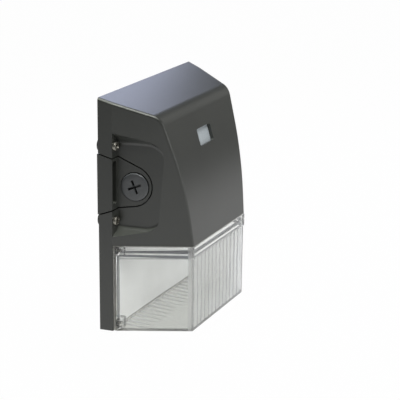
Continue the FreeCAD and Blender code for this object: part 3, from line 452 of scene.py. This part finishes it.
def shape_top(form, inset, rise):
    """Draws the form's top face in and moves it up, or down where rise is negative."""
    form.normal_update()
    top = [face for face in form.faces if face.normal.z > 0.9]
    bmesh.ops.inset_region(form, faces=top, thickness=inset)
    verts = {vert for face in top for vert in face.verts}
    bmesh.ops.translate(form, verts=list(verts), vec=(0, 0, rise))


def chip_cup_form():
    """A lamp chip's white cup, which faces up from zero."""
    form = chip_block()
    shape_top(form, inset=0.36 * MM, rise=-0.35 * MM)
    return form


def chip_dome_form():
    """The domed phosphor in a lamp chip's cup."""
    share_of_chip, lift = (0.74, 0.74, 0.7), 0.13 * MM
    form = chip_block()
    bmesh.ops.scale(form, verts=form.verts, vec=share_of_chip)
    bmesh.ops.translate(form, verts=form.verts, vec=(0, 0, lift))
    shape_top(form, inset=0.3 * MM, rise=0.12 * MM)
    return form


def connector_form():
    """A twist-on wire connector: a ribbed skirt under a tapered shell; its mouth is at zero."""
    mouth, skirt_base, skirt_top, groove = 6 * MM, 0.3, 6.0, 0.3 * MM
    form = bmesh.new()
    bmesh.ops.create_circle(form, segments=36, radius=mouth)
    rim = form.edges[:]
    rings = [(5.9, skirt_base), (5.4, skirt_top), (5.0, 6.5), (4.6, 7.2), (3.4, 19.0), (2.9, 19.8),
             (2.2, 20.0)]
    bore = [(2.7 * MM, 0.0), (2.6 * MM, 14 * MM)]
    grow_rings(form, (mouth, 0), [(radius * MM, rise * MM) for radius, rise in rings], rim)
    skirt = [face for face in form.faces
             if skirt_base * MM < face.calc_center_median().z < skirt_top * MM and len(face.verts) == 4]
    form.normal_update()
    grooved = skirt[::2]    # half of them, unevenly spaced: the order of the faces can vary between runs
    for face in bmesh.ops.extrude_discrete_faces(form, faces=grooved)["faces"]:
        bmesh.ops.translate(form, verts=face.verts, vec=face.normal * -groove)
    inside = [edge for edge in form.edges if edge.is_boundary and edge.verts[0].co.z < 0.1 * MM]
    grow_rings(form, (mouth, 0), bore, inside)
    return form


def clean_copy(node):
    """A copy of a CAD node's form with its loose triangles joined."""
    form = bmesh.new()
    form.from_mesh(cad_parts[node].data)
    bmesh.ops.remove_doubles(form, verts=form.verts, dist=0.002 * MM)
    return form


def plug_form():
    """A hub's closure plug: a rounded flange with a cross slot, over a threaded body."""
    face, crown = 10.35, 0.8            # radius and height of the flat face, over the flange
    form = lathe_disc(face * MM, segments=64)
    sink_cross(form, arm=5.7 * MM, half_width=0.95 * MM, sink=4 * MM, taper=0.94)
    rings = [(10.8, 0.66), (11.1, 0.4), (11.2, 0.1), (11.2, -0.02), (10.9, -0.3), (9.6, -1.4)]
    rings += thread(minor=9.45, major=9.85, top=-1.6, bottom=-11.4, pitch=1.4)
    rings += [(8.9, -11.7)]
    grow_rings(form, (face * MM, 0), [(radius * MM, (rise - crown) * MM) for radius, rise in rings])
    return form


def plug_place(side):
    """Where the plug on the left (side -1) or the right (side 1) sits, its face outwards."""
    proud, off_middle, slot_turn = 0.8 * MM, 0.3 * MM, math.radians(23)
    floor_side = FLOOR_SIDE - (HUB_DEPTH - SEAT_DEPTH) * math.tan(FLOOR_DRAFT)
    along = Vector((math.sin(FLOOR_DRAFT), -math.cos(FLOOR_DRAFT), 0))
    outward = Vector((-math.cos(FLOOR_DRAFT), -math.sin(FLOOR_DRAFT), 0))
    up = Vector((0, 0, 1))
    turn = Matrix((along, up, outward)).transposed().to_4x4()
    centre = spot(-floor_side, HUB_DEPTH, HUB_HEIGHT) + outward * proud
    left = Matrix.Translation(centre - (along + up) * off_middle) @ turn
    mirror = Matrix.Diagonal((-side, 1, 1, 1))
    return mirror @ left @ Matrix.Rotation(slot_turn, 4, "Z")


def cover_screw_form():
    """A pan-head screw with a cross recess and a threaded shank; its seat is at zero."""
    flat, crown = 2.55, 2.5             # radius and height of the head's flat top
    form = lathe_disc(flat * MM)
    sink_cross(form, arm=2.35 * MM, half_width=0.75 * MM, sink=1.9 * MM, taper=0.5)
    rings = [(3.1, 2.42), (3.45, 2.18), (3.66, 1.75), (3.7, 1.3), (3.7, 0.12), (3.58, 0.0), (1.95, 0.0)]
    rings += thread(minor=1.6, major=1.95, top=-2.0, bottom=-10.6, pitch=0.7)
    rings += [(1.5, -10.9), (0.5, -11.7)]
    grow_rings(form, (flat * MM, 0), [(radius * MM, (rise - crown) * MM) for radius, rise in rings])
    bmesh.ops.translate(form, verts=form.verts, vec=(0, 0, crown * MM))
    return form


# ---- settings ---------------------------------------------------------------

class CastingSettings(bpy.types.PropertyGroup):
    """Paint of the cover, the back box and the plugs."""

    paint: bpy.props.FloatVectorProperty(
        name="Paint", description="Colour of the powder coat", subtype="COLOR", size=3,
        default=(0.041, 0.044, 0.0375), min=0.0, max=1.0)
    plug_paint: bpy.props.FloatVectorProperty(
        name="Plug Paint", description="Colour of the closure plugs", subtype="COLOR", size=3,
        default=(0.085, 0.091, 0.092), min=0.0, max=1.0)
    roughness: bpy.props.FloatProperty(
        name="Roughness", description="Dullness of the powder coat", subtype="FACTOR",
        default=0.36, min=0.0, max=1.0)
    grain: bpy.props.FloatProperty(
        name="Grain", description="Height of the orange peel", unit="LENGTH",
        default=0.00002, min=0.0, max=0.001, precision=6)


class LensSettings(bpy.types.PropertyGroup):
    """Clear lens and the white panel behind it."""

    tint: bpy.props.FloatVectorProperty(
        name="Tint", description="Colour of the clear plastic", subtype="COLOR", size=3,
        default=(0.985, 0.988, 0.983), min=0.0, max=1.0)
    # painted shade: this grey stands for the shadow seen through the lens's floor
    floor_shade_tint: bpy.props.FloatVectorProperty(
        name="Painted Floor Shade", description="Colour of the lens's ribbed floor", subtype="COLOR", size=3,
        default=(0.56, 0.57, 0.535), min=0.0, max=1.0)
    ior: bpy.props.FloatProperty(
        name="Index", description="Refractive index of the clear plastic", default=1.5, min=1.0, max=2.0)
    roughness: bpy.props.FloatProperty(
        name="Roughness", description="Dullness of the clear plastic", subtype="FACTOR",
        default=0.0, min=0.0, max=1.0)
    haze: bpy.props.FloatProperty(
        name="Haze", description="Share of the light that the plastic scatters", subtype="FACTOR",
        default=0.1, min=0.0, max=1.0)
    panel: bpy.props.FloatVectorProperty(
        name="Panel", description="Colour of the reflector panel", subtype="COLOR", size=3,
        default=(0.9, 0.91, 0.9), min=0.0, max=1.0)
    pane: bpy.props.FloatVectorProperty(
        name="Pane", description="Colour of the photocell pane", subtype="COLOR", size=3,
        default=(0.62, 0.68, 0.71), min=0.0, max=1.0)


class StudioSettings(bpy.types.PropertyGroup):
    """Camera, lamps and floor."""

    azimuth: bpy.props.FloatProperty(
        name="Azimuth", description="Camera's turn about the upright axis", unit="ROTATION",
        default=math.radians(-64.216))
    elevation: bpy.props.FloatProperty(
        name="Elevation", description="Camera's height angle", unit="ROTATION",
        default=math.radians(17.715))
    roll: bpy.props.FloatProperty(
        name="Roll", description="Camera's lean", unit="ROTATION", default=math.radians(0.72))
    distance: bpy.props.FloatProperty(
        name="Distance", description="Camera to the point it looks at", unit="LENGTH", default=1.0491)
    focal_length: bpy.props.FloatProperty(
        name="Focal Length", description="In millimetres on a 36 mm sensor", unit="CAMERA",
        default=115.79)
    floor_drop: bpy.props.FloatProperty(
        name="Floor Drop", description="Floor below the light's lowest edge", unit="LENGTH", default=0.05)
    pool: bpy.props.FloatProperty(
        name="Pool", description="Reach of the bright part of the floor that gloss shows", unit="LENGTH",
        default=1.35)
    through: bpy.props.FloatProperty(
        name="Through", description="Brightness of the floor seen through the lens", default=1.0)
    ambient: bpy.props.FloatProperty(
        name="Ambient", description="Strength of the light from all round", subtype="FACTOR",
        default=0.048, min=0.0, max=1.0)
    sheen: bpy.props.FloatProperty(
        name="Sheen", description="Share of the white background that gloss shows", subtype="FACTOR",
        default=0.13, min=0.0, max=1.0)


# ---- operators --------------------------------------------------------------

def dress(names, material):
    """Gives CAD nodes a material."""
    for name in names:
        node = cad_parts[name]
        node.data.materials.clear()
        node.data.materials.append(material)


class WALLLIGHT_OT_castings(bpy.types.Operator):
    """Paint the cover and the back box"""

    bl_idname = "wall_light.castings"
    bl_label = "Paint Castings"

    def execute(self, context):
        casting = context.scene.wall_light_casting
        dress(["cover"], powder_coat("cast_paint", casting.paint, casting.roughness, casting.grain))
        dress(["back_box"], powder_coat("box_paint", casting.paint, casting.roughness + 0.04,
                                        casting.grain * 1.6))
        return {"FINISHED"}


class WALLLIGHT_OT_plugs(bpy.types.Operator):
    """Make the two closure plugs"""

    bl_idname = "wall_light.plugs"
    bl_label = "Make Plugs"

    def execute(self, context):
        casting = context.scene.wall_light_casting
        paint = powder_coat("plug_paint", casting.plug_paint, casting.roughness, casting.grain * 2)
        for side, name in ((-1, "left"), (1, "right")):
            form = plug_form()
            bmesh.ops.transform(form, matrix=plug_place(side), verts=form.verts)
            stand("slotted_plug_" + name, form, paint, "plug_" + name, "plug_paint", "closure_plug_" + name)
        return {"FINISHED"}


class WALLLIGHT_OT_lens(bpy.types.Operator):
    """Finish the clear lens, its gasket, the painted shade cords at its rim and the reflector panel"""

    bl_idname = "wall_light.lens"
    bl_label = "Finish Lens"

    def execute(self, context):
        clear = context.scene.wall_light_lens
        plastic = clear_plastic("lens_plastic", clear.tint, clear.floor_shade_tint, clear.roughness, clear.ior,
                                clear.haze)
        stand("fluted_lens", clean_copy("lens"), plastic, "cover", "lens_plastic", "lens", crease=16)
        # painted shade: dark cords where the lens's rim shows shade from inside
        stand("lens_rim_shade_cords", rim_shade_cords_form(), soft_rubber("rim_shade_rubber", (0.1, 0.108, 0.12)), "cover",
              "seal_rubber")
        dress(["lens_gasket"], soft_rubber("pale_rubber", (0.6, 0.59, 0.55)))
        dress(["reflector"], moulded_plastic("white_panel", clear.panel, 0.4))
        return {"FINISHED"}


class WALLLIGHT_OT_photocell(bpy.types.Operator):
    """Finish the photocell's pane, holder and sensor"""

    bl_idname = "wall_light.photocell"
    bl_label = "Finish Photocell"

    def execute(self, context):
        pane = context.scene.wall_light_lens.pane
        dress(["photocell_window"], moulded_plastic("pane_plastic", pane, 0.28, coat=0.4))
        dress(["photocell_holder", "photocell_sensor"],
              moulded_plastic("nylon_black", (0.02, 0.02, 0.022), 0.5))
        return {"FINISHED"}


class WALLLIGHT_OT_fasteners(bpy.types.Operator):
    """Finish the screws"""

    bl_idname = "wall_light.fasteners"
    bl_label = "Finish Fasteners"

    cover_screws = [        # side and height in millimetres, and the turn of the cross in degrees
        (-72.2, 91.8, 20), (-72.2, 152.0, 55), (72.2, 91.8, 5), (72.2, 152.0, 70)]

    def execute(self, context):
        steel = plated_steel("screw_steel", (0.32, 0.31, 0.27), 0.36)
        dress(["lens_screws", "led_board_screws", "driver_screws", "photocell_screws"], steel)
        face_out = Matrix.Rotation(math.radians(90), 4, "X")
        form = cover_screw_form()
        set_out(form, [Matrix.Translation(spot(side * MM, SEAT_DEPTH, height * MM)) @ face_out
                       @ Matrix.Rotation(math.radians(turn), 4, "Z")
                       for side, height, turn in self.cover_screws])
        stand("cross_screws", form, steel, "cover", "screw_steel", "cover_screws")
        dress(["ground_screw"], plated_steel("ground_brass", (0.7, 0.52, 0.22), 0.36))
        return {"FINISHED"}


class WALLLIGHT_OT_seals(bpy.types.Operator):
    """Finish the gaskets and the grommet"""

    bl_idname = "wall_light.seals"
    bl_label = "Finish Seals"

    def execute(self, context):
        dress(["cover_gasket", "photocell_gasket", "lead_grommet"],
              soft_rubber("seal_rubber", (0.03, 0.03, 0.03)))
        return {"FINISHED"}


class WALLLIGHT_OT_lamp(bpy.types.Operator):
    """Finish the lamp board, its chips and its connector"""

    bl_idname = "wall_light.lamp"
    bl_label = "Finish Lamp"

    board_height = 69.9 * MM
    row_pitch, row_middle = 8.5 * MM, 38 * MM
    column_pitch = 7.4 * MM

    def execute(self, context):
        dress(["led_board"], moulded_plastic("board_mask", (0.78, 0.79, 0.77), 0.35))
        face_down = Matrix.Rotation(math.radians(180), 4, "X")
        places = []
        for row in (-1, 0, 1):
            depth = self.row_middle + row * self.row_pitch
            for column in range(-4, 5):
                chip = spot(column * self.column_pitch, depth, self.board_height)
                places.append(Matrix.Translation(chip) @ face_down)
        cups = chip_cup_form()
        set_out(cups, places)
        stand("chip_cups", cups, moulded_plastic("chip_white", (0.84, 0.84, 0.8), 0.4), "cover",
              "nylon_white", "led_chips")
        domes = chip_dome_form()
        set_out(domes, places)
        stand("chip_domes", domes, moulded_plastic("chip_phosphor", (0.85, 0.62, 0.1), 0.3, coat=0.5),
              "cover", "chip_phosphor", "led_chips")
        dress(["thermal_pad"], soft_rubber("pad_grey", (0.42, 0.45, 0.5)))
        dress(["led_connector"], moulded_plastic("nylon_white", (0.75, 0.74, 0.7), 0.42))
        return {"FINISHED"}


class WALLLIGHT_OT_wiring(bpy.types.Operator):
    """Finish the driver, the leads and the connectors"""

    bl_idname = "wall_light.wiring"
    bl_label = "Finish Wiring"

    supply_mouths = [(-34 * MM, 27 * MM, 142 * MM), (-20 * MM, 27 * MM, 142 * MM)]
    ground_mouth = (25 * MM, 12 * MM, 133 * MM)

    def execute(self, context):
        dress(["driver_case"], plated_steel("driver_shell", (0.72, 0.73, 0.74), 0.42))
        for name, slot, colour in [
                ("led_leads", "lead_red", (0.45, 0.02, 0.02)),
                ("photocell_leads", "lead_grey", (0.14, 0.14, 0.15)),
                ("supply_leads", "lead_black", (0.015, 0.015, 0.015)),
                ("ground_lead", "lead_green", (0.02, 0.22, 0.05))]:
            dress([name], moulded_plastic(slot, colour, 0.38))
        orange = moulded_plastic("connector_orange", (0.75, 0.22, 0.03), 0.38)
        green = moulded_plastic("connector_green", (0.04, 0.36, 0.1), 0.38)
        to_wall = Matrix.Rotation(math.radians(-90), 4, "X")
        supply = connector_form()
        set_out(supply, [Matrix.Translation(spot(*mouth)) @ to_wall for mouth in self.supply_mouths])
        stand("supply_twist_connectors", supply, orange, "cover", "connector_orange", "supply_connectors")
        ground = connector_form()
        set_out(ground, [Matrix.Translation(spot(*self.ground_mouth))])
        stand("ground_twist_connector", ground, green, "back_box", "connector_green", "ground_connector")
        return {"FINISHED"}


class WALLLIGHT_OT_studio(bpy.types.Operator):
    """Set up the camera, the lamps, the world and the pale floor"""

    bl_idname = "wall_light.studio"
    bl_label = "Set Up Studio"

    look_at = Vector((0.0, -0.0511, -0.0275))
    floor_reach = 6.0
    pool_middle = (0.4, -0.3)       # of the bright part of the floor that gloss shows
    lamps = [                       # name, place, size, power and colour
        ("lamp_key", (-0.44, -0.55, 1.03), 0.4, 5.3, (1.0, 1.0, 0.99)),
        ("lamp_overhead", (-0.1, 0.0, 1.35), 1.2, 6.9, (0.97, 0.98, 1.0)),
        ("lamp_back_right", (0.62, 0.4, 0.46), 0.5, 2.9, (0.7, 0.76, 1.0)),
        ("lamp_front", (0.3, -1.35, 0.15), 0.9, 3.5, (1.0, 1.0, 0.99)),
        ("lamp_right", (1.3, -0.6, 0.5), 0.8, 1.0, (1.0, 1.0, 0.98))]

    def execute(self, context):
        studio = context.scene.wall_light_studio
        self.add_camera(context, studio)
        self.add_lamps(context)
        self.add_world(context, studio)
        self.add_floor(context, studio)
        context.scene.view_settings.view_transform = "Standard"
        return {"FINISHED"}

    def add_camera(self, context, studio):
        data = bpy.data.cameras.new("camera")
        data.sensor_fit = "HORIZONTAL"
        data.sensor_width = 36.0
        data.lens = studio.focal_length
        data.clip_start = 0.01
        camera = bpy.data.objects.new("camera", data)
        context.scene.collection.objects.link(camera)
        level = math.cos(studio.elevation)
        back = Vector((math.sin(studio.azimuth) * level, -math.cos(studio.azimuth) * level,
                       math.sin(studio.elevation)))
        turn = back.to_track_quat("Z", "Y").to_matrix().to_4x4()
        lean = Matrix.Rotation(studio.roll, 4, "Z")
        camera.matrix_world = Matrix.Translation(self.look_at + back * studio.distance) @ turn @ lean
        context.scene.camera = camera

    def add_lamps(self, context):
        for name, place, size, power, colour in self.lamps:
            data = bpy.data.lights.new(name, "AREA")
            data.shape = "SQUARE"
            data.size = size
            data.energy = power
            data.color = colour
            lamp = bpy.data.objects.new(name, data)
            context.scene.collection.objects.link(lamp)
            aim = Vector(place) - self.look_at
            lamp.matrix_world = (Matrix.Translation(place)
                                 @ aim.to_track_quat("Z", "Y").to_matrix().to_4x4())

    def add_world(self, context, studio):
        world = bpy.data.worlds.new("studio")
        context.scene.world = world
        nodes = Nodes(world)
        seen = nodes.rays("Is Camera Ray", "Is Transmission Ray")
        seen = nodes.math("MAXIMUM", seen, nodes.rays("Is Glossy Ray") * studio.sheen)
        strength = seen * (1.0 - studio.ambient) + studio.ambient
        light = nodes.add("ShaderNodeBackground", {}, {"Color": (1, 1, 1, 1), "Strength": strength})
        nodes.add("ShaderNodeOutputWorld", {}, {"Surface": light}, None)

    def add_floor(self, context, studio):
        form = bmesh.new()
        bmesh.ops.create_grid(form, x_segments=1, y_segments=1, size=self.floor_reach)
        low = CAD_BOX[0][2] - studio.floor_drop
        bmesh.ops.translate(form, verts=form.verts, vec=(0, 0, low))
        mesh = bpy.data.meshes.new("floor")
        form.to_mesh(mesh)
        form.free()
        floor = bpy.data.objects.new("floor", mesh)
        context.scene.collection.objects.link(floor)
        mesh.materials.append(floor_paper((*self.pool_middle, low), studio.pool, studio.through))


STEPS = [WALLLIGHT_OT_castings, WALLLIGHT_OT_plugs, WALLLIGHT_OT_lens, WALLLIGHT_OT_photocell,
         WALLLIGHT_OT_fasteners, WALLLIGHT_OT_seals, WALLLIGHT_OT_lamp, WALLLIGHT_OT_wiring,
         WALLLIGHT_OT_studio]


class WALLLIGHT_PT_panel(bpy.types.Panel):
    """Steps and settings of the wall pack light"""

    bl_idname = "WALLLIGHT_PT_panel"
    bl_label = "Wall Light"
    bl_space_type = "VIEW_3D"
    bl_region_type = "UI"
    bl_category = "Wall Light"

    def draw(self, context):
        for settings in (context.scene.wall_light_casting, context.scene.wall_light_lens,
                         context.scene.wall_light_studio):
            box = self.layout.box()
            for name in settings.__annotations__:
                box.prop(settings, name)
        for step in STEPS:
            self.layout.operator(step.bl_idname)


CLASSES = [CastingSettings, LensSettings, StudioSettings, *STEPS, WALLLIGHT_PT_panel]


def register():
    for item in CLASSES:
        bpy.utils.register_class(item)
    scene = bpy.types.Scene
    scene.wall_light_casting = bpy.props.PointerProperty(type=CastingSettings)
    scene.wall_light_lens = bpy.props.PointerProperty(type=LensSettings)
    scene.wall_light_studio = bpy.props.PointerProperty(type=StudioSettings)


def unregister():
    scene = bpy.types.Scene
    del scene.wall_light_casting, scene.wall_light_lens, scene.wall_light_studio
    for item in reversed(CLASSES):
        bpy.utils.unregister_class(item)


def main():
    """Makes and finishes everything."""
    register()
    for step in STEPS:
        section, name = step.bl_idname.split(".")
        getattr(getattr(bpy.ops, section), name)()


if __name__ == "__main__":
    main()
